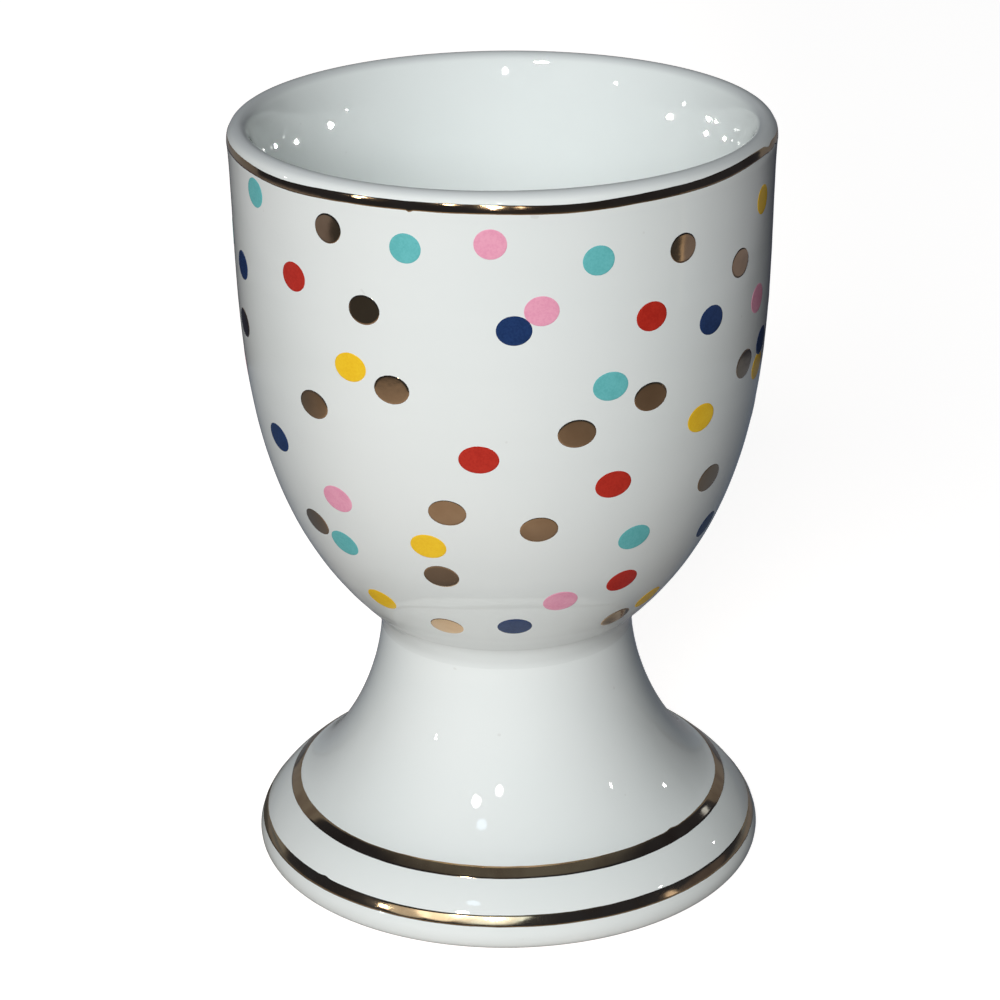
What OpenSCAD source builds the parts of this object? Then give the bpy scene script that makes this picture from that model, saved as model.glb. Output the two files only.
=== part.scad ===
// Footed egg cup of glazed porcelain: a bowl set on a hollow flared foot, three gilt bands and
// a scatter of printed dots. Millimetres. The origin is the centre of the foot ring on the
// table, +Z is up and the side that faces the viewer is at -Y.
// Every round piece is a revolved outline in radius and height. The outlines of the bowl and of
// the foot are computed once, and all that lies on them takes its inner face from them.

/* [Cup] */
// Height from the table to the top of the lip
cup_h = 68.4; // [64:0.2:74]
// Height at which the bowl meets the foot
neck_z = 22.9; // [20:0.1:25]
// Width where the bowl meets the foot
neck_d = 22.7; // [21:0.1:24.5]

/* [Bowl] */
// Width of the bowl outside, at the lip
rim_d = 47; // [45:0.5:50]
// Thickness of the lip
lip_t = 2; // [1.6:0.1:2.4]
// Height of the rounded top of the lip
lip_round_h = 1.3; // [1:0.1:2]
// Height of the flared seat for the egg, inside the lip
seat_h = 8; // [6:0.5:10]
// How far the seat leans outward where it meets the lip
seat_lean = 24; // [16:1:28]
// How far the seat keeps its direction at either end
seat_pull = 3.2; // [2.4:0.2:3.6]
// Thickness of the wall below the seat
wall_t = 3.2; // [2.8:0.1:3.6]
// Thickness of the bowl at its floor
floor_t = 3.2; // [2.6:0.1:4]
// Angle above level at which the bowl springs from the foot
root_angle = 41; // [36:1:46]
// Angle above level at which the wall reaches the lip
lip_angle = 87; // [84:1:89]
// How far the belly keeps the direction of the root
belly_pull = 18; // [15:0.5:21]
// How far the wall keeps the direction of the lip
wall_pull = 14; // [11:0.5:17]

/* [Foot] */
// Width of the base
base_d = 46.2; // [44:0.1:49]
// Thickness of the foot's wall
foot_t = 2.3; // [1.8:0.1:2.8]
// How far the stem keeps upright below the neck
stem_pull = 6.5; // [5:0.5:8]
// How far the flare keeps its slope above the step
flare_pull = 4.2; // [3.4:0.2:5]
// Slope of the flare above the step, below level
flare_angle = 28; // [24:1:32]
// How far the side of the base stands out beyond the top of the step
ledge_w = 3.85; // [3.4:0.05:4.4]
// Height where the flare ends and the step begins
step_z = 6.2; // [5.8:0.1:6.8]
// Width of the step along its slope, which the gilt band covers
step_w = 1.15; // [1:0.05:1.3]
// Slope of the step and of the shoulder where it meets the step, below level
step_angle = 38; // [34:1:42]
// How far the shoulder keeps the slope of the step
shoulder_pull = 2; // [1.6:0.1:2.4]
// How far the side keeps upright above the bottom edge
side_pull = 1.2; // [0.8:0.1:1.5]
// Width of the rounding at the bottom edge
edge_w = 0.8; // [0.5:0.1:1.1]
// Height of the rounding at the bottom edge
edge_h = 1.2; // [0.8:0.1:1.4]
// Width of the foot ring, from the side of the base to the hollow
ring_w = 3.4; // [2.9:0.1:3.9]
// Rounding of the ring's inner edge
ring_round = 0.6; // [0.3:0.1:0.8]

/* [Joint of bowl and foot] */
// Thickness of the slip that sticks the bowl to the foot
slip_t = 0.3; // [0.2:0.05:0.5]
// How far the slip reaches up the bowl and down the foot, outside
fillet_w = 1.3; // [0.5:0.1:1.4]

/* [Gilding] */
// Thickness of the gilding and of the printed dots
film_t = 0.08; // [0.05:0.01:0.12]
// Distance from the top of the lip down to the rim band
rim_band_drop = 0.8; // [0.6:0.05:1]
// Height of the rim band
rim_band_h = 0.8; // [0.6:0.05:1.2]
// Height of the lower edge of the base band
base_band_z = 2.2; // [1.8:0.1:2.4]
// Height of the base band
base_band_h = 0.95; // [0.7:0.05:1.1]

/* [Dots] */
// Height of a dot along the wall
dot_h = 2.55; // [2:0.05:2.8]
// Width of a dot near the lip
dot_lip_w = 2.7; // [2.2:0.05:3]
// Width of a dot on the belly, where the print is stretched most
dot_belly_w = 3.4; // [2.8:0.05:3.6]
// Width of a dot near the foot
dot_root_w = 3; // [2.4:0.05:3.3]

/* [Hidden] */
$fn = 180;

porcelain = [0.93, 0.94, 0.93];
slip_white = [0.88, 0.89, 0.88];
gilt = [0.72, 0.55, 0.28];
pink = [0.90, 0.56, 0.72];
teal = [0.36, 0.74, 0.72];
yellow = [0.95, 0.78, 0.16];
red = [0.80, 0.15, 0.15];
navy = [0.14, 0.20, 0.40];
bronze = [0.48, 0.38, 0.28];

// Steps of the curves, and corners of a dot's outline
wall_steps = 36;
flare_steps = 20;
dome_steps = 8;
top_steps = 4;
egg_seat_steps = 10;
round_steps = 8;
dot_corners = 24;

neck_r = neck_d / 2;
rim_r = rim_d / 2;
base_r = base_d / 2;
lip_z = cup_h - lip_round_h;

// The underside of the bowl, inside the neck, is a dome that carries on the curve of the root
dome_r = neck_r / sin(root_angle);
dome_z = neck_z + dome_r * cos(root_angle);
dome_low_z = dome_z - dome_r;
top_r = dome_r + slip_t;
top_in_angle = asin((neck_r - foot_t) / top_r);
top_out_angle = asin(neck_r / top_r);

// Each place is an angle round the cup in degrees, from the viewer's side towards +X, and the
// height as a share of the bowl's height above the neck. The print goes round the cup twice.
prints = 2;
pink_shares = [[-2.5, 0.91], [7.5, 0.785], [67.5, 0.7], [94, 0.53], [-41.5, 0.37], [15, 0.17], [99, 0.1]];
teal_shares = [[-60.5, 0.93], [-19.5, 0.895], [19, 0.87], [93, 0.79], [22, 0.63], [32, 0.3],
               [-44, 0.265], [81, 0.14]];
yellow_shares = [[68, 0.89], [-33, 0.655], [72, 0.555], [46.5, 0.52], [93, 0.35], [-18.5, 0.305],
                 [-40, 0.135], [51.5, 0.105]];
red_shares = [[-47.5, 0.8], [31, 0.75], [89, 0.65], [-5.5, 0.5], [24, 0.43], [32.5, 0.195]];
navy_shares = [[90, 0.91], [-71, 0.765], [2, 0.75], [47.5, 0.71], [73.5, 0.6], [-60.5, 0.45],
               [85, 0.27], [63.5, 0.245], [2.5, 0.105]];
gold_shares = [[-37, 0.91], [38.5, 0.865], [57.5, 0.795], [-29, 0.77], [-73.5, 0.645], [-23.5, 0.625],
               [31.5, 0.595], [62.5, 0.585], [-44, 0.56], [15, 0.545], [86, 0.43], [-13, 0.385],
               [54, 0.375], [7.5, 0.35], [-53, 0.29], [-16.5, 0.235], [95, 0.19], [-19.5, 0.095],
               [39.5, 0.08]];

// The three heights, as shares, at which the dots' widths are given
dot_width_shares = [0.1, 0.5, 0.9];
// Part of the way to the corner over which a fillet bends
fillet_bend_share = 0.5;
// How far a dot's outline is carried through the film, to each side
dot_reach = 0.8;
// Heights closer than this count as one
same_z = 0.001;

// Points along curves

function heading(angle) = [cos(angle), sin(angle)];

function bezier(p, q, r, s, steps) =
    [for (i = [0 : steps]) let (t = i / steps, u = 1 - t)
        u * u * u * p + 3 * u * u * t * q + 3 * u * t * t * r + t * t * t * s];

// A curve between two points, given the direction and the pull at each
function sweep(from, from_angle, from_pull, to, to_angle, to_pull, steps) =
    bezier(from, from + from_pull * heading(from_angle), to - to_pull * heading(to_angle), to, steps);

function oval(centre, w, h, from_angle, to_angle, steps) =
    [for (i = [0 : steps]) let (a = from_angle + (to_angle - from_angle) * i / steps)
        centre + [w * cos(a), h * sin(a)]];

// An arc round the dome's centre, with its angles counted from straight down
function dome_arc(r, from_angle, to_angle, steps) =
    [for (i = [0 : steps]) let (a = from_angle + (to_angle - from_angle) * i / steps)
        [r * sin(a), dome_z - r * cos(a)]];

// Lists of points

function rest(path) = [for (i = [1 : len(path) - 1]) path[i]];
function but_last(path) = [for (i = [0 : len(path) - 2]) path[i]];
function backwards(path) = [for (i = [len(path) - 1 : -1 : 0]) path[i]];

// The outward direction at a point of a path that runs up the cup
function outward(path, i) =
    let (d = path[min(i + 1, len(path) - 1)] - path[max(i - 1, 0)])
        [d[1], -d[0]] / norm(d);

// The point of an upward path at a height
function at_height(path, z) =
    let (i = [for (k = [0 : len(path) - 2]) if (path[k + 1][1] >= z) k][0],
         share = (z - path[i][1]) / (path[i + 1][1] - path[i][1]))
        path[i] + share * (path[i + 1] - path[i]);

// The stretch of an upward path between two heights, with its own corners
function stretch(path, z1, z2) =
    concat([at_height(path, z1)],
           [for (p = path) if (p[1] > z1 + same_z && p[1] < z2 - same_z) p],
           [at_height(path, z2)]);

// Outlines

dome_under = dome_arc(dome_r, 0, top_in_angle, dome_steps);
dome_edge = dome_arc(dome_r, top_in_angle, root_angle, top_steps);
wall = sweep([neck_r, neck_z], root_angle, belly_pull, [rim_r, lip_z], lip_angle, wall_pull, wall_steps);
lip_centre = [rim_r - lip_t / 2, lip_z];
bowl_outside = concat(wall, rest(oval(lip_centre, lip_t / 2, lip_round_h, 0, 90, round_steps)));
// The lip's rounding goes on inward until it points down the egg seat
lip_end_angle = 180 - atan(tan(seat_lean) * lip_round_h / (lip_t / 2));
lip_inside = rest(oval(lip_centre, lip_t / 2, lip_round_h, 90, lip_end_angle, round_steps));

// The inside follows the outside, at a thickness that changes evenly from the floor to the wall,
// and ends in the seat, which flares to the lip
function shell_t(z) = floor_t + (wall_t - floor_t) * (z - dome_low_z) / (lip_z - dome_low_z);
bowl_shell = concat(dome_under, rest(dome_edge), rest(wall));
bowl_inside = [for (i = [1 : len(bowl_shell) - 2])
    let (p = bowl_shell[i] - shell_t(bowl_shell[i][1]) * outward(bowl_shell, i))
        if (p[1] < lip_z - seat_h) p];
seat_low = bowl_inside[len(bowl_inside) - 1];
seat_rise = seat_low - bowl_inside[len(bowl_inside) - 2];
egg_seat = sweep(seat_low, atan2(seat_rise[1], seat_rise[0]), seat_pull,
                 lip_inside[round_steps - 1], 90 - seat_lean, seat_pull, egg_seat_steps);

base_corner = [base_r - edge_w, edge_h];
step_top = [base_r - ledge_w, step_z];
step_bottom = step_top - step_w * heading(180 - step_angle);
foot_top = dome_arc(top_r, top_in_angle, top_out_angle, top_steps);
foot_corner = foot_top[top_steps];
bottom_edge = oval(base_corner, edge_w, edge_h, -90, 0, round_steps);
shoulder = sweep([base_r, edge_h], 90, side_pull, step_bottom, 180 - step_angle, shoulder_pull,
                 round_steps);
flare = sweep(step_top, 180 - flare_angle, flare_pull, foot_corner, 90, stem_pull, flare_steps);
foot_outside = concat(bottom_edge, rest(shoulder), flare);
foot_inside = [for (i = [0 : flare_steps - 1]) flare[i] - foot_t * outward(flare, i)];
ring_in_r = base_r - ring_w;
ring_edge = oval([ring_in_r + ring_round, ring_round], ring_round, ring_round, 180, 270, round_steps);

// A thin coat over a stretch of an outline
function coat(path) =
    concat(path, backwards([for (i = [0 : len(path) - 1]) path[i] + film_t * outward(path, i)]));

module band(path, z1, z2) {
    rotate_extrude() polygon(coat(stretch(path, z1, z2)));
}

// Sub-parts

module bowl() {
    color(porcelain) rotate_extrude() polygon(concat(
        dome_under, rest(dome_edge), rest(bowl_outside), lip_inside,
        rest(backwards(egg_seat)), rest(backwards(bowl_inside)), [[0, dome_low_z + floor_t]]));
}

module foot() {
    color(porcelain) rotate_extrude() polygon(concat(
        foot_outside, backwards(but_last(foot_top)), backwards(foot_inside), ring_edge));
}

// A ring between bowl and foot, with a hollow fillet outside, whose ends lie on the first
// straight stretch of each outline
module luting_slip() {
    up = wall[1] - wall[0];
    down = flare[flare_steps - 1] - foot_corner;
    on_bowl = wall[0] + min(fillet_w / norm(up), 1) * up;
    on_foot = foot_corner + min(fillet_w / norm(down), 1) * down;
    fillet = bezier(on_bowl, on_bowl + fillet_bend_share * (wall[0] - on_bowl),
                    on_foot + fillet_bend_share * (foot_corner - on_foot), on_foot, round_steps);
    color(slip_white) rotate_extrude() polygon(concat(dome_edge, fillet, backwards(foot_top)));
}

module rim_gold_band() {
    top = cup_h - rim_band_drop;
    color(gilt) band(bowl_outside, top - rim_band_h, top);
}

module step_gold_band() {
    color(gilt) band(foot_outside, step_bottom[1], step_z);
}

module base_gold_band() {
    color(gilt) band(foot_outside, base_band_z, base_band_z + base_band_h);
}

function dot_z(place) = neck_z + place[1] * (cup_h - neck_z);
function dot_w(place) = lookup(place[1], [
    [dot_width_shares[0], dot_root_w],
    [dot_width_shares[1], dot_belly_w],
    [dot_width_shares[2], dot_lip_w]]);

// The outline of a dot as a short prism square to the wall
module dot_prism(place) {
    z = dot_z(place);
    spot = at_height(bowl_outside, z);
    out = outward([at_height(bowl_outside, z - dot_h / 2), at_height(bowl_outside, z + dot_h / 2)], 0);
    rotate([0, 0, place[0]]) translate([0, -spot[0], spot[1]]) rotate([atan2(out[0], out[1]), 0, 0])
        translate([0, 0, -dot_reach]) linear_extrude(2 * dot_reach)
            polygon(rest(oval([0, 0], dot_w(place) / 2, dot_h / 2, 0, 360, dot_corners)));
}

// Whether two dots' outlines may cross
function meet(a, b) =
    let (span = (a[0] - b[0]) * PI / 180 * at_height(bowl_outside, dot_z(a))[0],
         rise = dot_z(a) - dot_z(b))
        norm([span, rise]) < max(dot_w(a), dot_h) + film_t;

// Dots of one colour, on both prints, with what is printed over them cut out
module dots(places, over) {
    for (k = [0 : prints - 1], place = places) {
        rotate([0, 0, k * 360 / prints]) difference() {
            intersection() {
                band(bowl_outside, dot_z(place) - dot_h, min(dot_z(place) + dot_h, lip_z));
                dot_prism(place);
            }
            for (other = over) {
                if (meet(place, other)) dot_prism(other);
            }
        }
    }
}

module dots_pink() {
    color(pink) dots(pink_shares, concat(teal_shares, yellow_shares, red_shares, navy_shares, gold_shares));
}

module dots_teal() {
    color(teal) dots(teal_shares, concat(yellow_shares, red_shares, navy_shares, gold_shares));
}

module dots_yellow() {
    color(yellow) dots(yellow_shares, concat(red_shares, navy_shares, gold_shares));
}

module dots_red() {
    color(red) dots(red_shares, concat(navy_shares, gold_shares));
}

module dots_navy() {
    color(navy) dots(navy_shares, gold_shares);
}

module dots_gold() {
    color(bronze) dots(gold_shares, []);
}

bowl();
foot();
luting_slip();
rim_gold_band();
step_gold_band();
base_gold_band();
dots_pink();
dots_teal();
dots_yellow();
dots_red();
dots_navy();
dots_gold();
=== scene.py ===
"""The looks of a footed porcelain egg cup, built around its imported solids.

The smooth porcelain follows the outlines of the solids, and the gilding and the printed dots lie
on it where the solids of the bands and dots are. Lengths in metres unless a name says otherwise.
Azimuths are counted from the viewer's side towards +X.
"""

import math

import bmesh
import bpy
import numpy as np
from mathutils import Matrix, Vector, noise
from mathutils.bvhtree import BVHTree


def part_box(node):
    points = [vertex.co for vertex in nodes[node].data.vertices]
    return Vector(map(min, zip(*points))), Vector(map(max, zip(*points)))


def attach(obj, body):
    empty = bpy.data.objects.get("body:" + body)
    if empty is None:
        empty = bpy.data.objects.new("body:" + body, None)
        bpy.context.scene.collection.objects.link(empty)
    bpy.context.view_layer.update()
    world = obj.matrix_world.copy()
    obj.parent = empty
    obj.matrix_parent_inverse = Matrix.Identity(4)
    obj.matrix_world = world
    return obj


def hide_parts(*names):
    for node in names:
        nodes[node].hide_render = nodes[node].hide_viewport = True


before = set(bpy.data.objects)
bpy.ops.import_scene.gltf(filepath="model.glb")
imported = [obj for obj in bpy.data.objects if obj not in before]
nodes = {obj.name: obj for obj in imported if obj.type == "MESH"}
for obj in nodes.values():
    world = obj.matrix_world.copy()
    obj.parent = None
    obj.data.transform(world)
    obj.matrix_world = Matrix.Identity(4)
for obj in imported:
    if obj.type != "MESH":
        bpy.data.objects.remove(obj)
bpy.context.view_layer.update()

MM = 0.001
ROOT = "root"

# Camera, at the photograph's viewpoint
CAMERA_PLACE = Vector((0, -254.3, 137.6)) * MM
CAMERA_PITCH = math.radians(22.374)
CAMERA_YAW = math.radians(-0.112)
CAMERA_ROLL = math.radians(-0.581)
CAMERA_LENS_MM = 110.34
CAMERA_SENSOR_MM = 36
CAMERA_NEAR = 0.01
CAMERA_FAR = 20


def make_camera():
    """The camera looks down its pitch, turned by yaw and rolled about its own line of sight."""
    level = math.cos(CAMERA_PITCH)
    ahead = Vector((math.sin(CAMERA_YAW) * level, math.cos(CAMERA_YAW) * level, -math.sin(CAMERA_PITCH)))
    side = ahead.cross(Vector((0, 0, 1))).normalized()
    over = side.cross(ahead)
    right = math.cos(CAMERA_ROLL) * side + math.sin(CAMERA_ROLL) * over
    up = -math.sin(CAMERA_ROLL) * side + math.cos(CAMERA_ROLL) * over
    data = bpy.data.cameras.new("camera")
    data.lens = CAMERA_LENS_MM
    data.sensor_width = CAMERA_SENSOR_MM
    data.clip_start = CAMERA_NEAR
    data.clip_end = CAMERA_FAR
    camera = bpy.data.objects.new("camera", data)
    bpy.context.scene.collection.objects.link(camera)
    turn = Matrix((right, up, -ahead)).transposed()
    camera.matrix_world = Matrix.Translation(CAMERA_PLACE) @ turn.to_4x4()
    bpy.context.scene.camera = camera


make_camera()
bpy.context.scene.view_settings.view_transform = "Standard"


# Outlines read from the solids

SAME_PLACE = 0.01 * MM
CORNER_TURN = math.radians(28)
OUTLINE_STEP = 0.33 * MM
NORMAL_REACH = 0.3 * MM
RING_EDGE_IN = 0.8 * MM


def mesh_of(node):
    """The corners of a solid, one row each, and its edges as pairs of rows."""
    mesh = nodes[node].data
    corners = np.zeros(len(mesh.vertices) * 3)
    mesh.vertices.foreach_get("co", corners)
    edges = np.zeros(len(mesh.edges) * 2, int)
    mesh.edges.foreach_get("vertices", edges)
    return corners.reshape(-1, 3), edges.reshape(-1, 2)


def outline(node, start):
    """The outline of a revolved solid as points of radius and height. It begins at the point
    nearest to start, turns outward first and follows the edges of the solid."""
    corners, edges = mesh_of(node)
    flat = np.c_[np.hypot(corners[:, 0], corners[:, 1]), corners[:, 2]]
    cells, cell_of = np.unique(np.round(flat / SAME_PLACE).astype(int), axis=0, return_inverse=True)
    points = []
    point_of = []
    for cell in cells * SAME_PLACE:
        near = [k for k, p in enumerate(points) if math.dist(p, cell) < 2 * SAME_PLACE]
        point_of.append(near[0] if near else len(points))
        if not near:
            points.append(cell)
    ends = np.array(point_of)[cell_of.ravel()[edges]]
    beside = [set() for _ in points]
    for a, b in ends[ends[:, 0] != ends[:, 1]]:
        beside[a].add(b)
        beside[b].add(a)
    here = min(range(len(points)), key=lambda k: math.dist(points[k], start))
    path = [here]
    while beside[here] - set(path):
        here = max(beside[here] - set(path), key=lambda k: points[k][0])
        path.append(here)
    return np.array([points[k] for k in path])


def smoothed(path):
    """The path as a smooth curve through its points, in short steps, with its corners kept."""
    step = np.diff(path, axis=0)
    size = np.hypot(*step.T)
    slope = step / size[:, None]
    turn = np.abs(np.arctan2(slope[:-1, 0] * slope[1:, 1] - slope[:-1, 1] * slope[1:, 0],
                             (slope[:-1] * slope[1:]).sum(1)))
    tangent_in = np.r_[slope[:1], slope]
    tangent_out = np.r_[slope, slope[-1:]]
    for i in range(1, len(path) - 1):
        if turn[i - 1] < CORNER_TURN:
            mean = (size[i] * slope[i - 1] + size[i - 1] * slope[i]) / (size[i - 1] + size[i])
            tangent_in[i] = tangent_out[i] = mean
    points = [path[0]]
    for i in range(len(path) - 1):
        count = max(1, math.ceil(size[i] / OUTLINE_STEP))
        for k in range(1, count + 1):
            t = k / count
            a = 2 * t**3 - 3 * t**2 + 1
            b = t**3 - 2 * t**2 + t
            c = t**3 - t**2
            points.append(a * path[i] + (1 - a) * path[i + 1]
                          + size[i] * (b * tangent_out[i] + c * tangent_in[i + 1]))
    return np.array(points)


class Surface:
    """A stretch of an outline that runs up the outside, measured along its length."""

    def __init__(self, path):
        self.path = path
        self.length = np.r_[0, np.cumsum(np.hypot(*np.diff(path, axis=0).T))]

    def along(self, z):
        return float(np.interp(z, self.path[:, 1], self.length))

    def at(self, s):
        return np.array([np.interp(s, self.length, self.path[:, k]) for k in (0, 1)])

    def outward(self, s):
        d = self.at(s + NORMAL_REACH) - self.at(s - NORMAL_REACH)
        return np.array([d[1], -d[0]]) / np.hypot(*d)

    def point(self, azimuth, s, lift):
        r, z = self.at(s) + lift * self.outward(s)
        return r * math.sin(azimuth), -r * math.cos(azimuth), z


bowl_low, bowl_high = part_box("bowl")
foot_low, foot_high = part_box("foot")
_, slip_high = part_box("luting_slip")
bowl_path = smoothed(outline("bowl", (0, bowl_low.z)))
foot_path = smoothed(outline("foot", (foot_high.x - RING_EDGE_IN, foot_low.z)))
slip_path = smoothed(outline("luting_slip", (slip_high.x, slip_high.z)))
bowl_outside = Surface(bowl_path[:np.argmax(bowl_path[:, 1]) + 1])
bowl_inside = bowl_path[np.argmax(bowl_path[:, 1]):]
foot_outside = Surface(foot_path[:np.argmax(foot_path[:, 1]) + 1])


# Meshes

ROUND_SEGMENTS = 240
SHARP_TURN = math.radians(40)
cup = []


def mesh_object(name, vertices, faces, material):
    mesh = bpy.data.meshes.new(name)
    mesh.from_pydata(vertices, [], faces)
    mesh.polygons.foreach_set("use_smooth", [True] * len(mesh.polygons))
    mesh.materials.append(material)
    obj = bpy.data.objects.new(name, mesh)
    bpy.context.scene.collection.objects.link(obj)
    return obj


def new_piece(name, vertices, faces, replaced, slot, material):
    """A piece of the cup, smooth but for its sharp edges, in the place of the solid it replaces."""
    piece = mesh_object(name, vertices, faces, material)
    b = bmesh.new()
    b.from_mesh(piece.data)
    bmesh.ops.recalc_face_normals(b, faces=b.faces)
    b.to_mesh(piece.data)
    b.free()
    piece.data.set_sharp_from_angle(angle=SHARP_TURN)
    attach(piece, ROOT)
    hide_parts(replaced)
    cup.append(piece)
    return piece


def lathe(path, closed):
    """The surface of revolution of a path, whose points on the axis become single vertices."""
    rings = []
    vertices = []
    for r, z in path:
        first = len(vertices)
        if r < SAME_PLACE:
            vertices.append((0, 0, z))
            rings.append([first] * ROUND_SEGMENTS)
            continue
        for k in range(ROUND_SEGMENTS):
            a = 2 * math.pi * k / ROUND_SEGMENTS
            vertices.append((r * math.cos(a), r * math.sin(a), z))
        rings.append(list(range(first, first + ROUND_SEGMENTS)))
    if closed:
        rings.append(rings[0])
    faces = []
    for low, high in zip(rings, rings[1:]):
        for k in range(ROUND_SEGMENTS):
            m = (k + 1) % ROUND_SEGMENTS
            corners = [low[k], low[m], high[m], high[k]]
            corners = [c for i, c in enumerate(corners) if c not in corners[:i]]
            if len(corners) > 2:
                faces.append(corners)
    return vertices, faces


# Materials

def new_material(name, **sockets):
    """A material, its node tree and its shader, with constant values set on the shader."""
    material = bpy.data.materials.new(name)
    material.use_nodes = True
    tree = material.node_tree
    shader = tree.nodes["Principled BSDF"]
    for socket, value in sockets.items():
        shader.inputs[socket.replace("_", " ")].default_value = value
    return material, tree, shader


def add(tree, kind, values=None, **settings):
    """A node with its settings, and its inputs set to values or linked to other nodes' outputs."""
    node = tree.nodes.new(kind)
    for name, value in settings.items():
        setattr(node, name, value)
    for key, value in (values or {}).items():
        if isinstance(value, bpy.types.NodeSocket):
            tree.links.new(value, node.inputs[key])
        else:
            node.inputs[key].default_value = value
    return node


def place_of(tree):
    return tree.nodes.new("ShaderNodeTexCoord").outputs["Object"]


def parts_of(tree, vector):
    return add(tree, "ShaderNodeSeparateXYZ", {"Vector": vector}).outputs


def noise_at(tree, place, per_metre, detail=2.0):
    node = add(tree, "ShaderNodeTexNoise", {"Vector": place, "Scale": per_metre, "Detail": detail})
    return node.outputs["Fac"]


def ramp(tree, value, low, high, to_low=0.0, to_high=1.0):
    """A soft step between two values, which may fall as well as rise."""
    if low > high:
        low, high, to_low, to_high = high, low, to_high, to_low
    node = add(tree, "ShaderNodeMapRange", {"Value": value, "From Min": low, "From Max": high,
                                            "To Min": to_low, "To Max": to_high})
    node.interpolation_type = "SMOOTHSTEP"
    return node.outputs["Result"]


def math_node(tree, operation, a, b=0.0):
    return add(tree, "ShaderNodeMath", {0: a, 1: b}, operation=operation).outputs[0]


def mixed(tree, share, a, b):
    """A colour between a and b, either of which may be a node's output."""
    node = add(tree, "ShaderNodeMix", data_type="RGBA")
    for socket, value in (("Factor", share), ("A", a), ("B", b)):
        target = [i for i in node.inputs if i.name == socket and i.enabled][0]
        if isinstance(value, bpy.types.NodeSocket):
            tree.links.new(value, target)
        else:
            target.default_value = value if socket == "Factor" else (*value, 1)[:4]
    return [o for o in node.outputs if o.enabled][0]


def height_bump(tree, shader, layers, sockets=("Normal",)):
    """Bumps from several heights, each given as an output and its depth."""
    normal = None
    for height, depth in layers:
        values = {"Height": height, "Distance": depth, "Strength": 1.0}
        if normal:
            values["Normal"] = normal
        normal = add(tree, "ShaderNodeBump", values).outputs["Normal"]
    for socket in sockets:
        tree.links.new(normal, shader.inputs[socket])


GLAZE_TINTS = ((0.828, 0.872, 0.862), (0.812, 0.862, 0.852))
# Painted shade: the glaze greys towards the top of the lip, between these heights
LIP_PAINTED_SHADE = (0.655, 0.694, 0.70)
LIP_SHADE_HEIGHTS = (bowl_high.z - 0.7 * MM, bowl_high.z - 0.1 * MM)
SPECK = (0.30, 0.26, 0.22)
SPECK_STRENGTH = 0.13
BARE_CLAY = (0.62, 0.59, 0.55)
BARE_HEIGHTS = (0.12 * MM, 0.04 * MM)
GLAZE_WAVE_DEPTH = 0.06 * MM
GLAZE_SKIN_DEPTH = 0.004 * MM


def glaze_colour(tree, place, height, bare):
    """White with slow changes of tint and sparse specks, and painted shade that greys the glaze
    towards the top of the lip."""
    clouds = ramp(tree, noise_at(tree, place, per_metre=70), low=0.3, high=0.7)
    colour = mixed(tree, clouds, *GLAZE_TINTS)
    dust = noise_at(tree, place, per_metre=1300, detail=0.0)
    specks = ramp(tree, dust, low=0.87, high=0.91, to_high=SPECK_STRENGTH)
    colour = mixed(tree, specks, colour, SPECK)
    # Painted shade on the lip
    colour = mixed(tree, ramp(tree, height, *LIP_SHADE_HEIGHTS), colour, LIP_PAINTED_SHADE)
    return mixed(tree, bare, colour, BARE_CLAY)


def glaze_material(name):
    """White glaze with an orange-peel skin and slow waves. Under the foot it leaves the ground
    ring bare."""
    material, tree, shader = new_material(
        name, IOR=1.5, Specular_IOR_Level=0.0, Roughness=0.6, Coat_IOR=1.52)
    place = place_of(tree)
    height = parts_of(tree, place)["Z"]
    bare = ramp(tree, height, *BARE_HEIGHTS)
    tree.links.new(glaze_colour(tree, place, height, bare), shader.inputs["Base Color"])
    tree.links.new(math_node(tree, "SUBTRACT", 1.0, bare), shader.inputs["Coat Weight"])
    dulling = noise_at(tree, place, per_metre=220)
    gloss = ramp(tree, dulling, low=0.3, high=0.7, to_low=0.02, to_high=0.05)
    tree.links.new(gloss, shader.inputs["Coat Roughness"])
    waves = noise_at(tree, place, per_metre=110, detail=1.0)
    skin = noise_at(tree, place, per_metre=900, detail=1.0)
    layers = [(waves, GLAZE_WAVE_DEPTH), (skin, GLAZE_SKIN_DEPTH)]
    height_bump(tree, shader, layers, ("Normal", "Coat Normal"))
    return material


ENAMEL_GRAIN_DEPTH = 0.003 * MM
ENAMEL_GRAIN_SHARE = 0.6


def enamel_material(name, colour, deep):
    """Printed enamel: the grain of the screen and small changes of depth, under the same gloss."""
    material, tree, shader = new_material(
        name, IOR=1.5, Specular_IOR_Level=0.0, Coat_Weight=0.6, Coat_Roughness=0.06)
    place = place_of(tree)
    grain = noise_at(tree, place, per_metre=5200, detail=3.0)
    patches = noise_at(tree, place, per_metre=900)
    depth = math_node(tree, "ADD", math_node(tree, "MULTIPLY", grain, ENAMEL_GRAIN_SHARE),
                      math_node(tree, "MULTIPLY", patches, 1 - ENAMEL_GRAIN_SHARE))
    inked = mixed(tree, ramp(tree, depth, low=0.35, high=0.68), colour, deep)
    tree.links.new(inked, shader.inputs["Base Color"])
    gloss = ramp(tree, patches, low=0.3, high=0.7, to_low=0.14, to_high=0.22)
    tree.links.new(gloss, shader.inputs["Roughness"])
    height_bump(tree, shader, [(grain, ENAMEL_GRAIN_DEPTH)])
    return material


BRUSH_STRETCH = 0.004
BRUSH_DEPTH = 0.0004 * MM
GILT_SKIN_DEPTH = 0.003 * MM


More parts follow.
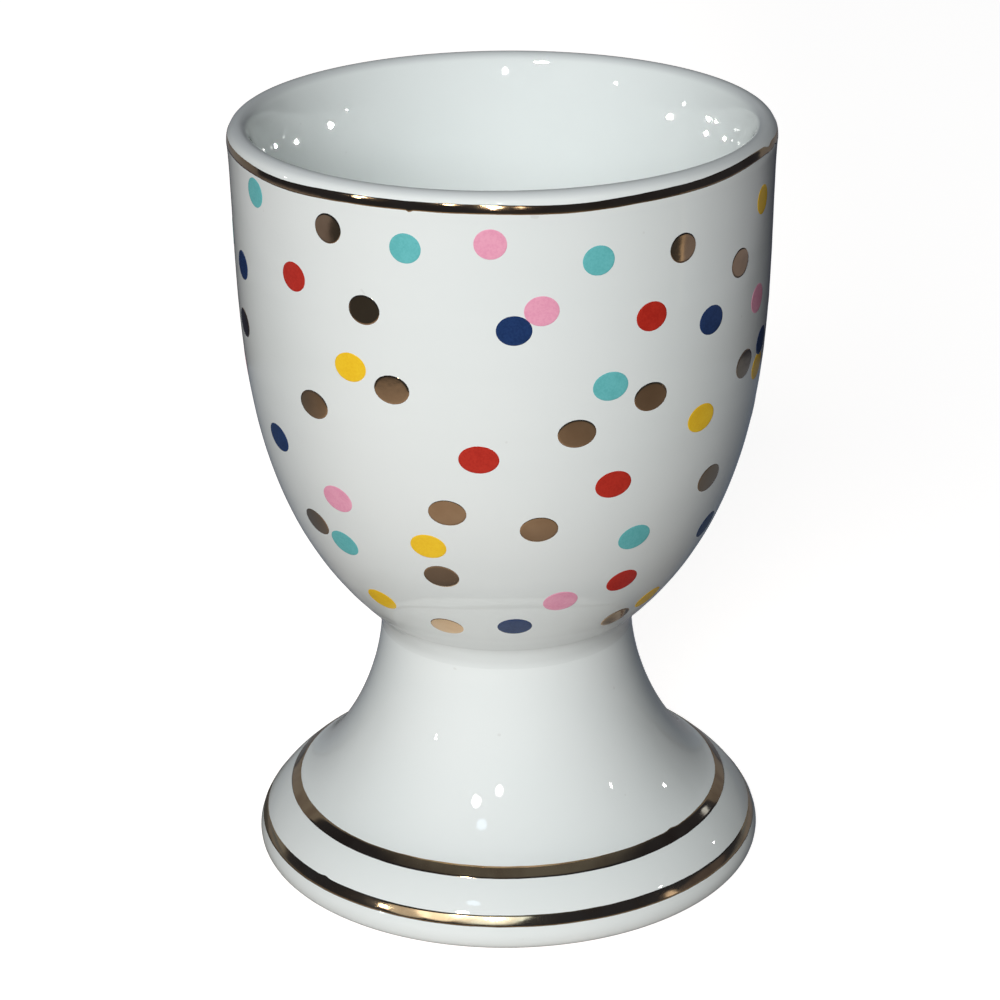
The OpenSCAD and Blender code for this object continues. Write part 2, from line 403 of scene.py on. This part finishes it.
def gilt_material(name, bright, dull, rough):
    """Fired gilding: brushed along the band, with duller patches."""
    material, tree, shader = new_material(name, Metallic=1.0)
    place = place_of(tree)
    patches = noise_at(tree, place, per_metre=330, detail=4.0)
    tone = mixed(tree, ramp(tree, patches, low=0.35, high=0.7), bright, dull)
    tree.links.new(tone, shader.inputs["Base Color"])
    gloss = ramp(tree, patches, low=0.3, high=0.75, to_low=rough * 0.7, to_high=rough * 1.5)
    tree.links.new(gloss, shader.inputs["Roughness"])
    parts = parts_of(tree, place)
    turn = math_node(tree, "ARCTAN2", parts["Y"], parts["X"])
    stroke = add(tree, "ShaderNodeCombineXYZ",
                 {"X": math_node(tree, "MULTIPLY", turn, BRUSH_STRETCH), "Y": parts["Z"]})
    brushing = noise_at(tree, stroke.outputs["Vector"], per_metre=9000)
    skin = noise_at(tree, place, per_metre=1400, detail=1.0)
    height_bump(tree, shader, [(brushing, BRUSH_DEPTH), (skin, GILT_SKIN_DEPTH)])
    return material


porcelain = glaze_material("porcelain_glaze")
slip_glaze = glaze_material("slip_glaze")
gilt = gilt_material("gilding", bright=(0.80, 0.56, 0.32), dull=(0.60, 0.39, 0.22), rough=0.09)
gilt_brushed = gilt_material(
    "brushed_gilding", bright=(0.86, 0.64, 0.38), dull=(0.70, 0.48, 0.27), rough=0.13)
gilt_dots = gilt_material("dot_gilding", bright=(0.74, 0.50, 0.30), dull=(0.66, 0.43, 0.25), rough=0.08)
enamels = {
    "pink": enamel_material("pink_enamel", colour=(0.88, 0.40, 0.54), deep=(0.82, 0.33, 0.48)),
    "teal": enamel_material("teal_enamel", colour=(0.155, 0.54, 0.555), deep=(0.125, 0.48, 0.49)),
    "yellow": enamel_material("yellow_enamel", colour=(0.95, 0.62, 0.03), deep=(0.90, 0.55, 0.022)),
    "red": enamel_material("red_enamel", colour=(0.52, 0.031, 0.018), deep=(0.44, 0.022, 0.013)),
    "navy": enamel_material("navy_enamel", colour=(0.018, 0.046, 0.15), deep=(0.013, 0.034, 0.11)),
}


# Porcelain

bowl = new_piece("bowl_glazed", *lathe(bowl_path, closed=False), "bowl", "porcelain", porcelain)
foot = new_piece("foot_glazed", *lathe(foot_path, closed=True), "foot", "porcelain", porcelain)
new_piece("slip_glazed", *lathe(slip_path, closed=True), "luting_slip", "slip", slip_glaze)


# Gilt bands

FILM_LIFT = 0.03 * MM
FILM_SINK = 0.02 * MM
FILM_EDGE_STEEPNESS = 4
BAND_ROWS = 10
BAND_SEGMENTS = 720
BAND_UNDERSIDE = (0.75, -0.75)
BAND_WANDER = 0.045 * MM
SLOW_WANDER = 2.2
QUICK_WANDER = 14
UPPER_EDGE_SEED = 5

# Places where an edge of a band runs: the azimuth in degrees, how far the edge moves and the
# width of the place in millimetres, and which edge it is, 0 for the lower one and 1 for the upper
RIM_SLIPS = ((-18.3, -0.16, 0.18, 0), (71, -0.25, 0.8, 1), (76, 0.2, 0.5, 0),
             (13, -0.2, 5, 0), (13, -0.22, 5, 1), (-48, -0.18, 5, 0),
             (-50, -0.2, 5, 1), (65, 0.4, 6, 0), (63, 0.36, 6, 1))
STEP_SLIPS = ((49, 0.12, 0.5, 1),)
BASE_SLIPS = ((-47, 0.1, 0.4, 1),)


def wobble(azimuth, seed):
    """A slow and a quick wander of a hand-painted edge."""
    round_trip = Vector((math.cos(azimuth), math.sin(azimuth), seed))
    slow = noise.noise(round_trip * SLOW_WANDER)
    quick = noise.noise(round_trip * QUICK_WANDER)
    return BAND_WANDER * (slow + 0.5 * quick)


def film_lift(share):
    """Height of a film over the glaze. The share is 0 in the film's middle and 1 at its edge."""
    return FILM_LIFT * min(1, (1 - share * share) * FILM_EDGE_STEEPNESS) - FILM_SINK * (share >= 1)


def band_ends(even_ends, radius, azimuth, seed, slips):
    """Where the band begins and ends along the surface at an azimuth."""
    ends = [even_ends[0] + wobble(azimuth, seed), even_ends[1] + wobble(azimuth, seed + UPPER_EDGE_SEED)]
    for at, shift, width, edge in slips:
        off = (azimuth - math.radians(at) + math.pi) % (2 * math.pi) - math.pi
        ends[edge] += shift * MM * math.exp(-(off * radius / (width * MM)) ** 2)
    return ends


def gilt_band(name, node, surface, material, seed, slips):
    """A band over the solid's stretch of the surface, with wandering edges."""
    low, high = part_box(node)
    even_ends = surface.along(low.z), surface.along(high.z)
    radius = surface.at(surface.along((low.z + high.z) / 2))[0]
    vertices = []
    for j in range(BAND_SEGMENTS):
        azimuth = 2 * math.pi * j / BAND_SEGMENTS
        ends = band_ends(even_ends, radius, azimuth, seed, slips)
        middle = (ends[0] + ends[1]) / 2
        half = (ends[1] - ends[0]) / 2
        for k in range(BAND_ROWS + 1):
            share = 2 * k / BAND_ROWS - 1
            vertices.append(surface.point(azimuth, middle + share * half, film_lift(abs(share))))
        for share in BAND_UNDERSIDE:
            vertices.append(surface.point(azimuth, middle + share * half, -FILM_SINK))
    ring = BAND_ROWS + 1 + len(BAND_UNDERSIDE)
    faces = []
    for j in range(BAND_SEGMENTS):
        m = (j + 1) % BAND_SEGMENTS
        for k in range(ring):
            n = (k + 1) % ring
            faces.append([j * ring + k, j * ring + n, m * ring + n, m * ring + k])
    return new_piece(name, vertices, faces, node, "gilt", material)


rim_band = gilt_band("rim_gilding", "rim_gold_band", bowl_outside, gilt, 1.0, RIM_SLIPS)
step_band = gilt_band("step_gilding", "step_gold_band", foot_outside, gilt, 2.0, STEP_SLIPS)
base_band = gilt_band("base_gilding", "base_gold_band", foot_outside, gilt_brushed, 3.0, BASE_SLIPS)


# Printed dots

DOT_CORNERS = 56
DOT_RINGS = (0.35, 0.65, 0.85, 0.94, 0.98)
DOT_UNDERSIDE = (0.97, 0.5)
DOT_EDGE_STEEPNESS = 3
DOT_LIFT = 0.016 * MM
INK_STEP = 0.002 * MM


def loose_parts(node):
    """The vertices of each separate solid of a node."""
    corners, edges = mesh_of(node)
    _, same = np.unique(np.round(corners / SAME_PLACE).astype(int), axis=0, return_inverse=True)
    same = same.ravel()
    group = np.arange(same.max() + 1)
    a, b = same[edges].T
    before = None
    while before is None or (group != before).any():
        before = group.copy()
        lowest = np.minimum(group[a], group[b])
        np.minimum.at(group, a, lowest)
        np.minimum.at(group, b, lowest)
        group = group[group]
    of_corner = group[same]
    return [corners[of_corner == g] for g in np.unique(of_corner)]


def measured(part):
    """Azimuth, place along the wall and half sizes of a dot, from its solid."""
    azimuth = math.atan2(part[:, 0].mean(), -part[:, 1].mean())
    across = part[:, 0] * math.cos(azimuth) + part[:, 1] * math.sin(azimuth)
    lows, highs = part.min(0), part.max(0)
    s = bowl_outside.along((lows[2] + highs[2]) / 2)
    r = bowl_outside.at(s)[0]
    azimuth += (across.min() + across.max()) / 2 / r
    steep = bowl_outside.outward(s)[0]
    return azimuth, s, (across.max() - across.min()) / 2, (highs[2] - lows[2]) / 2 / steep


def dot_rings(lift):
    """The rings of a dot, over its top, round its edge and back below: share of its size, height."""
    top = [(share, lift * min(1, (1 - share**8) * DOT_EDGE_STEEPNESS)) for share in DOT_RINGS]
    return top + [(1.0, -FILM_SINK / 2)] + [(share, -FILM_SINK) for share in DOT_UNDERSIDE]


def dot_vertices(part, lift):
    """A thin disc on the wall of the bowl, where the solid of one dot is."""
    azimuth, s, half_w, half_h = measured(part)

    def on_wall(share, angle, height):
        along = s + share * half_h * math.sin(angle)
        turn = math.asin(share * half_w * math.cos(angle) / bowl_outside.at(along)[0])
        return bowl_outside.point(azimuth + turn, along, height)

    vertices = [on_wall(0, 0, lift)]
    for share, height in dot_rings(lift):
        for k in range(DOT_CORNERS):
            vertices.append(on_wall(share, 2 * math.pi * k / DOT_CORNERS, height))
    vertices.append(on_wall(0, 0, -FILM_SINK))
    return vertices


def dot_faces(first, last):
    """Faces between the rings of a dot, whose first and last vertices are the middles of its sides."""
    faces = []
    for k in range(DOT_CORNERS):
        m = (k + 1) % DOT_CORNERS
        faces.append([first, first + 1 + k, first + 1 + m])
        for low in range(first + 1, last - DOT_CORNERS, DOT_CORNERS):
            high = low + DOT_CORNERS
            faces.append([low + k, high + k, high + m, low + m])
        end = last - DOT_CORNERS
        faces.append([last, end + m, end + k])
    return faces


def dots(name, node, slot, material, lift):
    """The dots of one colour, one for each solid of the node."""
    vertices = []
    faces = []
    for part in loose_parts(node):
        first = len(vertices)
        vertices += dot_vertices(part, lift)
        faces += dot_faces(first, len(vertices) - 1)
    new_piece(name, vertices, faces, node, slot, material)


for layer, (colour, enamel) in enumerate(enamels.items()):
    dots(f"{colour}_dots", f"dots_{colour}", f"{colour}_enamel", enamel, DOT_LIFT + layer * INK_STEP)
dots("gilt_dots", "dots_gold", "gilt_dots", gilt_dots, DOT_LIFT + len(enamels) * INK_STEP)


# Floor and world

FLOOR_HALF = 2.0
FLOOR_LEFT = (0.62, 0.54, 0.49)
FLOOR_RIGHT = (0.30, 0.285, 0.28)
FLOOR_CHANGE = (0.0, 0.06)
FLOOR_GLOW = 0.91
WORLD_LIGHT = (1, 0.97, 0.94)
WORLD_LIGHT_STRENGTH = 0.012
WHITE = (1, 1, 1)


def on_stage(obj, glossy_only=False):
    if glossy_only:
        obj.visible_camera = False
        obj.visible_diffuse = False
        obj.visible_shadow = False
        obj.visible_transmission = False
        obj.visible_volume_scatter = False


def square(half, height):
    """The corners and the face of a level square round the axis of the cup."""
    corners = [(-half, -half, height), (half, -half, height), (half, half, height), (-half, half, height)]
    return corners, [(0, 1, 2, 3)]


def seen_share(tree):
    """1 where the camera or a reflection sees the surface, and 0 where it only gives light."""
    path = tree.nodes.new("ShaderNodeLightPath")
    seen = math_node(tree, "MAXIMUM", path.outputs["Is Camera Ray"], path.outputs["Is Glossy Ray"])
    return math_node(tree, "MAXIMUM", seen, path.outputs["Is Transmission Ray"])


def make_floor():
    """A floor that hands back less light on the right. The camera and reflections see it as white
    round the object's shadow."""
    material, tree, shader = new_material("floor", Specular_IOR_Level=0.1, Roughness=0.9)
    side = parts_of(tree, place_of(tree))["X"]
    bounce = mixed(tree, ramp(tree, side, *FLOOR_CHANGE), FLOOR_LEFT, FLOOR_RIGHT)
    tree.links.new(bounce, shader.inputs["Base Color"])
    strength = math_node(tree, "MULTIPLY", seen_share(tree), FLOOR_GLOW)
    glow = add(tree, "ShaderNodeEmission", {"Color": (*WHITE, 1), "Strength": strength})
    both = add(tree, "ShaderNodeAddShader", {0: shader.outputs[0], 1: glow.outputs[0]})
    tree.links.new(both.outputs[0], tree.nodes["Material Output"].inputs["Surface"])
    on_stage(mesh_object("floor", *square(FLOOR_HALF, 0), material))


def make_world():
    """White where the camera or a reflection sees it. What it adds to the light is faint."""
    world = bpy.data.worlds.new("studio")
    bpy.context.scene.world = world
    world.use_nodes = True
    tree = world.node_tree
    back = tree.nodes["Background"]
    seen = seen_share(tree)
    tree.links.new(mixed(tree, seen, WORLD_LIGHT, WHITE), back.inputs["Color"])
    strength = math_node(tree, "MAXIMUM", seen, WORLD_LIGHT_STRENGTH)
    tree.links.new(strength, back.inputs["Strength"])


# The room and the table, which only reflections see

ROOM_RADIUS = 1.6
ROOM_LOW = -4
ROOM_HIGH = 90
ROOM_AROUND = 48
ROOM_UP = 16
ROOM_DARK = (0.022, 0.027, 0.044)
ROOM_LEFT = (0.165, 0.18, 0.205)
ROOM_RIGHT = (0.14, 0.15, 0.17)
ROOM_ABOVE = (0.11, 0.13, 0.155)
ROOM_LEFT_EDGE = (math.radians(-114), math.radians(-118))
ROOM_RIGHT_EDGE = (math.radians(126.5), math.radians(128.5))
ROOM_EDGE_LEAN = 0.33
ROOM_ABOVE_EDGE = (0.75, 0.95)

TABLE_HALF = 1.6
TABLE_RISE = 0.05 * MM
TABLE_SIDE = (0.18, 0.185, 0.22)
TABLE_STRIPE = (0.46, 0.43, 0.38)
TABLE_FRONT = (0.045, 0.052, 0.06)
TABLE_REACH = (0.27, 0.23)
TABLE_BEHIND_Y = (0.04, 0.09)
TABLE_SHINE_X = (0.125, 0.175)
TABLE_STRIPE_X = (0.0, 0.01)
TABLE_STRIPE_Y = (-0.043, -0.045)
TABLE_FRONT_TURN_X = (-0.01, 0.01)
TABLE_FRONT_Y = (-0.060, -0.050)

MAT_NEAR = (0.36, 0.33, 0.31)
MAT_FAR = (0.12, 0.11, 0.105)
MAT_BEHIND = (0.095, 0.12, 0.16)
# Painted shade and painted shadows on the mat close to the foot
MAT_SHADE = (0.15, 0.15, 0.165)
MAT_PAINTED_CONTACT_SHADOW = (0.07, 0.09, 0.12)
MAT_PAINTED_CORNER_SHADOW = (0.055, 0.06, 0.065)
MAT_CENTRE = (-0.035, -0.055, 0)
MAT_FADE = (0.03, 0.14)
MAT_GRAIN = 0.03
MAT_BEHIND_Y = (-0.03, 0.03)
MAT_SHADE_REACH = (0.058, 0.028)
MAT_PAINTED_CONTACT_SHADOW_REACH = (0.031, 0.025)
MAT_PAINTED_CORNER_SHADOW_X = (-0.012, -0.020)
MAT_PAINTED_CORNER_SHADOW_Y = (-0.020, -0.008)
MAT_PAINTED_CORNER_SHADOW_REACH = (0.036, 0.032)
MAT_EDGE = (0.125, 0.131)


def direction(azimuth, elevation):
    """The unit vector of two angles in degrees."""
    a, e = math.radians(azimuth), math.radians(elevation)
    return Vector((math.sin(a) * math.cos(e), -math.cos(a) * math.cos(e), math.sin(e)))


def dome():
    """The walls and the ceiling of the room, as a dome round the cup."""
    vertices = []
    for i in range(ROOM_UP + 1):
        e = ROOM_LOW + (ROOM_HIGH - ROOM_LOW) * i / ROOM_UP
        for k in range(ROOM_AROUND):
            vertices.append(tuple(ROOM_RADIUS * direction(360 * k / ROOM_AROUND, e)))
    faces = []
    for i in range(ROOM_UP):
        low = i * ROOM_AROUND
        high = low + ROOM_AROUND
        for k in range(ROOM_AROUND):
            m = (k + 1) % ROOM_AROUND
            faces.append([low + k, low + m, high + m, high + k])
    return vertices, faces


def vector_node(tree, operation, a, b=(0, 0, 0)):
    return add(tree, "ShaderNodeVectorMath", {0: a, 1: b}, operation=operation).outputs


def surroundings(tree, way):
    """Dark in front, and dimly lit behind, from an edge on the left to another on the right. Both
    edges lean back as they rise."""
    parts = parts_of(tree, way)
    ahead = math_node(tree, "MULTIPLY", parts["Y"], -1.0)
    azimuth = math_node(tree, "ARCTAN2", parts["X"], ahead)
    lean = math_node(tree, "MULTIPLY", parts["Z"], ROOM_EDGE_LEAN)
    left = ramp(tree, math_node(tree, "ADD", azimuth, lean), *ROOM_LEFT_EDGE)
    right = ramp(tree, math_node(tree, "SUBTRACT", azimuth, lean), *ROOM_RIGHT_EDGE)
    return mixed(tree, right, mixed(tree, left, ROOM_DARK, ROOM_LEFT), ROOM_RIGHT)


def room_colour(tree):
    """A dim room: dark in front, paler behind and grey overhead."""
    way = vector_node(tree, "NORMALIZE", place_of(tree))["Vector"]
    height = parts_of(tree, way)["Z"]
    return mixed(tree, ramp(tree, height, *ROOM_ABOVE_EDGE), surroundings(tree, way), ROOM_ABOVE)


def mat_colour(tree, place, spot, reach):
    """A taupe mat, brightest in front on the left and bluer behind the cup, with painted shade close
    to the foot and a painted shadow that is darkest there on the left."""
    off = vector_node(tree, "DISTANCE", place, MAT_CENTRE)["Value"]
    grain = noise_at(tree, place, per_metre=160, detail=3.0)
    off = math_node(tree, "ADD", off, math_node(tree, "MULTIPLY", grain, MAT_GRAIN))
    mat = mixed(tree, ramp(tree, off, *MAT_FADE), MAT_NEAR, MAT_FAR)
    mat = mixed(tree, ramp(tree, spot["Y"], *MAT_BEHIND_Y), mat, MAT_BEHIND)
    # Painted shade and a painted contact shadow close to the foot, and a painted shadow on the left
    mat = mixed(tree, ramp(tree, reach, *MAT_SHADE_REACH), mat, MAT_SHADE)
    mat = mixed(tree, ramp(tree, reach, *MAT_PAINTED_CONTACT_SHADOW_REACH), mat, MAT_PAINTED_CONTACT_SHADOW)
    painted_corner_shadow = math_node(tree, "MULTIPLY", ramp(tree, spot["X"], *MAT_PAINTED_CORNER_SHADOW_X),
                       ramp(tree, spot["Y"], *MAT_PAINTED_CORNER_SHADOW_Y))
    painted_corner_shadow = math_node(tree, "MULTIPLY", painted_corner_shadow, ramp(tree, reach, *MAT_PAINTED_CORNER_SHADOW_REACH))
    return mixed(tree, painted_corner_shadow, mat, MAT_PAINTED_CORNER_SHADOW)


def shine_colour(tree, spot):
    """The dull shine of the table on either side, with a pale stripe in front on the left."""
    shine = mixed(tree, ramp(tree, spot["Y"], *TABLE_STRIPE_Y), TABLE_SIDE, TABLE_STRIPE)
    return mixed(tree, ramp(tree, spot["X"], *TABLE_STRIPE_X), TABLE_SIDE, shine)


def bare_table_colour(tree, place, spot, reach):
    """The table beyond the mat. Close by, it is dark behind and in front and shines at the sides.
    Far off, it takes the colours of the room."""
    table = surroundings(tree, vector_node(tree, "NORMALIZE", place)["Vector"])
    near = ramp(tree, reach, *TABLE_REACH)
    behind = math_node(tree, "MULTIPLY", ramp(tree, spot["Y"], *TABLE_BEHIND_Y), near)
    table = mixed(tree, behind, table, ROOM_DARK)
    front_edge = ramp(tree, spot["X"], *TABLE_FRONT_TURN_X, *TABLE_FRONT_Y)
    beyond = math_node(tree, "GREATER_THAN", spot["Y"], front_edge)
    table = mixed(tree, near, table, mixed(tree, beyond, TABLE_FRONT, table))
    aside = ramp(tree, math_node(tree, "ABSOLUTE", spot["X"]), *TABLE_SHINE_X)
    shiny = math_node(tree, "MULTIPLY", math_node(tree, "MULTIPLY", aside, near), beyond)
    return mixed(tree, shiny, table, shine_colour(tree, spot))


def table_colour(tree):
    """The mat that the cup stands on, and the table round it."""
    place = place_of(tree)
    spot = parts_of(tree, place)
    reach = vector_node(tree, "LENGTH", place)["Value"]
    mat = mat_colour(tree, place, spot, reach)
    return mixed(tree, ramp(tree, reach, *MAT_EDGE), mat, bare_table_colour(tree, place, spot, reach))


def reflection_card(name, vertices, faces, build):
    """A staged surface that only reflections see."""
    material = bpy.data.materials.new(name)
    material.use_nodes = True
    material.cycles.emission_sampling = "NONE"
    tree = material.node_tree
    tree.nodes.remove(tree.nodes["Principled BSDF"])
    glow = add(tree, "ShaderNodeEmission", {"Color": build(tree), "Strength": 1.0})
    tree.links.new(glow.outputs[0], tree.nodes["Material Output"].inputs["Surface"])
    on_stage(mesh_object(name, vertices, faces, material), glossy_only=True)


make_floor()
make_world()
reflection_card("room", *dome(), room_colour)
reflection_card("table", *square(TABLE_HALF, TABLE_RISE), table_colour)


# Lights

AIM = Vector((0, 0, 35 * MM))
LAMP_DISTANCE = 1.2
LAMP_WHITE = (1, 0.98, 0.95)
PALE_BLUE = (0.65, 0.82, 1.0)
STREAK_BLUE = (0.62, 0.80, 1.0)
STEP_BLUE = (0.5, 0.68, 1.0)
KEY_WHITE = (0.986, 0.99, 0.993)
STREAK_PINK = (1, 0.85, 0.85)
STREAK_CREAM = (1, 0.9, 0.85)
FILL_BEHIND = Vector((0, 140, 44)) * MM
FILL_INSIDE = Vector((0, 0, 60)) * MM
FILL_INSIDE_SPREAD = math.radians(100)
RIM_GLINT_DISTANCE = 0.315
STREAK_WIDTH = 0.40

all_but_bowl = [piece for piece in cup if piece != bowl]

# Lamps that the cup mirrors: azimuth and elevation in degrees, width, radiance, colour, and the
# pieces that mirror it
ROOM_LAMPS = (
    ("lamp_left", -23.3, 34.9, 0.102, 45, LAMP_WHITE, all_but_bowl),
    ("lamp_front", -6.8, 31, 0.085, 45, LAMP_WHITE, all_but_bowl),
    ("lamp_inside", -1.7, 26.8, 0.050, 45, LAMP_WHITE, [bowl]),
    ("lamp_high", -20.5, 47, 0.115, 5, PALE_BLUE, [foot]),
    ("lamp_far_left", -58, 19.5, 0.045, 45, LAMP_WHITE, [bowl, base_band]),
    ("lamp_far_left_low", -57, 9.2, 0.045, 45, LAMP_WHITE, [foot]),
    ("lamp_beside", -98, 9.7, 0.040, 45, LAMP_WHITE, [bowl]),
    ("lamp_right", 75, 24.5, 0.040, 45, LAMP_WHITE, [foot]),
    ("lamp_back_right", 113.5, 17.8, 0.032, 45, LAMP_WHITE, [foot]),
)

# Glints on the rim band: azimuth and elevation in degrees, width, height, radiance
RIM_GLINTS = (
    ("left", -21, 22, 0.022, 0.04, 30),
    ("front", -3.5, 17.6, 0.030, 0.22, 110),
    ("far_left", -58, 17.6, 0.022, 0.14, 110),
    ("right", 7, 13, 0.010, 0.16, 90),
)

# Streaks on the base band: azimuth and elevation in degrees, radiance, colour, and how many times
# the common width it is wide and high
STREAKS = (
    ("middle", -10, 35, 4.5, STREAK_BLUE, 1.75, 1.55),
    ("side", -33, 28, 1.3, WHITE, 1.0, 0.95),
    ("end", -47, 23, 0.45, WHITE, 1.0, 0.9),
    ("right", 92, 5, 0.085, STREAK_PINK, 2.0, 0.85),
    ("right_end", 75, 9, 0.16, STREAK_CREAM, 0.3, 0.7),
)

# Images of the lamps that the inside of the bowl hands round: azimuth in degrees, and height and
# width in millimetres
INNER_GLINTS = (
    (133, 64.3, 1.4), (-132, 64, 1.6), (-137, 64.8, 0.8), (117, 65.2, 1.1), (114.5, 65.3, 0.7),
    (117, 63.9, 0.8), (109, 64.3, 0.6), (-115.5, 63.8, 0.8), (-106, 64.4, 0.6), (170.1, 67.7, 6.0),
)
INNER_GLINT_RADIANCE = 20
INNER_GLINT_SPREAD = math.radians(40)
OFF_GLAZE = 0.1 * MM
OFF_WALL = 0.5 * MM
OPEN_REACH = 60 * MM


def disc_light(name, place, towards, width, radiance, colour=LAMP_WHITE, pieces=(), soft=False):
    """A round light of a given width, whose face has a given radiance. A soft one gives light, and
    any other is only mirrored. It may be kept to some of the pieces."""
    data = bpy.data.lights.new(name, "AREA")
    data.shape = "DISK"
    data.size = width
    data.energy = radiance * math.pi * math.pi * width**2 / 4
    data.color = colour
    light = bpy.data.objects.new(name, data)
    light.location = place
    light.rotation_euler = (-towards).to_track_quat("Z", "Y").to_euler()
    light.visible_camera = False
    light.visible_diffuse = soft
    light.visible_glossy = not soft
    bpy.context.scene.collection.objects.link(light)
    if pieces:
        lit = bpy.data.collections.new(name)
        for piece in pieces:
            lit.objects.link(piece)
        light.light_linking.receiver_collection = lit
    return light


def lamp(name, azimuth, elevation, width, radiance, distance=LAMP_DISTANCE, **settings):
    """A lamp in the room, aimed at the cup."""
    way = direction(azimuth, elevation)
    return disc_light(name, AIM + distance * way, -way, width, radiance, **settings)


def make_fills():
    """Soft light: the key from the front, a little from behind, and a little inside the bowl."""
    lamp("key", azimuth=-12, elevation=27, width=0.60, radiance=15.2, colour=KEY_WHITE, soft=True)
    disc_light("fill_behind", FILL_BEHIND, towards=Vector((0, -1, 0)), width=0.06, radiance=12,
               colour=WHITE, pieces=cup, soft=True)
    inside = disc_light("fill_inside", FILL_INSIDE, towards=Vector((0, 0, -1)), width=0.02, radiance=1.0,
                        colour=WHITE, pieces=[bowl], soft=True)
    inside.data.spread = FILL_INSIDE_SPREAD


def make_mirrored_lamps():
    """Lamps that give no light of their own and show only as glints on the glaze and the gilding."""
    for name, azimuth, elevation, width, radiance, colour, pieces in ROOM_LAMPS:
        lamp(name, azimuth, elevation, width, radiance, colour=colour, pieces=pieces)
    for name, azimuth, elevation, width, height, radiance in RIM_GLINTS:
        glint = lamp(f"rim_glint_{name}", azimuth, elevation, width, radiance,
                     distance=RIM_GLINT_DISTANCE, pieces=[rim_band])
        glint.scale.y = height / width
    for name, azimuth, elevation, radiance, colour, wide, high in STREAKS:
        streak = lamp(f"streak_{name}", azimuth, elevation, STREAK_WIDTH, radiance,
                      colour=colour, pieces=[base_band])
        streak.scale = (wide, high, 1)
    lamp("step_glint", azimuth=128.3, elevation=23.5, width=0.09, radiance=1.1,
         colour=STEP_BLUE, pieces=[step_band])


def inner_glint(name, bowl_tree, azimuth, height, width):
    """A small light by the inner wall, which the camera sees mirrored at a place on the wall."""
    r = np.interp(-height, -bowl_inside[:, 1], bowl_inside[:, 0])
    a = math.radians(azimuth)
    place, normal, _, _ = bowl_tree.find_nearest(Vector((r * math.sin(a), -r * math.cos(a), height)))
    sight = (place - CAMERA_PLACE).normalized()
    way = sight.reflect(normal)
    wall, _, _, _ = bowl_tree.ray_cast(place + way * OFF_GLAZE, way)
    if wall is None:
        wall = place + way * OPEN_REACH
    light = disc_light(name, wall - way * OFF_WALL, -way, width, INNER_GLINT_RADIANCE, pieces=[bowl])
    light.data.spread = INNER_GLINT_SPREAD


def make_inner_glints():
    bowl_tree = BVHTree.FromObject(bowl, bpy.context.evaluated_depsgraph_get())
    for k, (azimuth, height, width) in enumerate(INNER_GLINTS):
        inner_glint(f"inner_glint_{k}", bowl_tree, azimuth, height * MM, width * MM)


make_fills()
make_mirrored_lamps()
make_inner_glints()
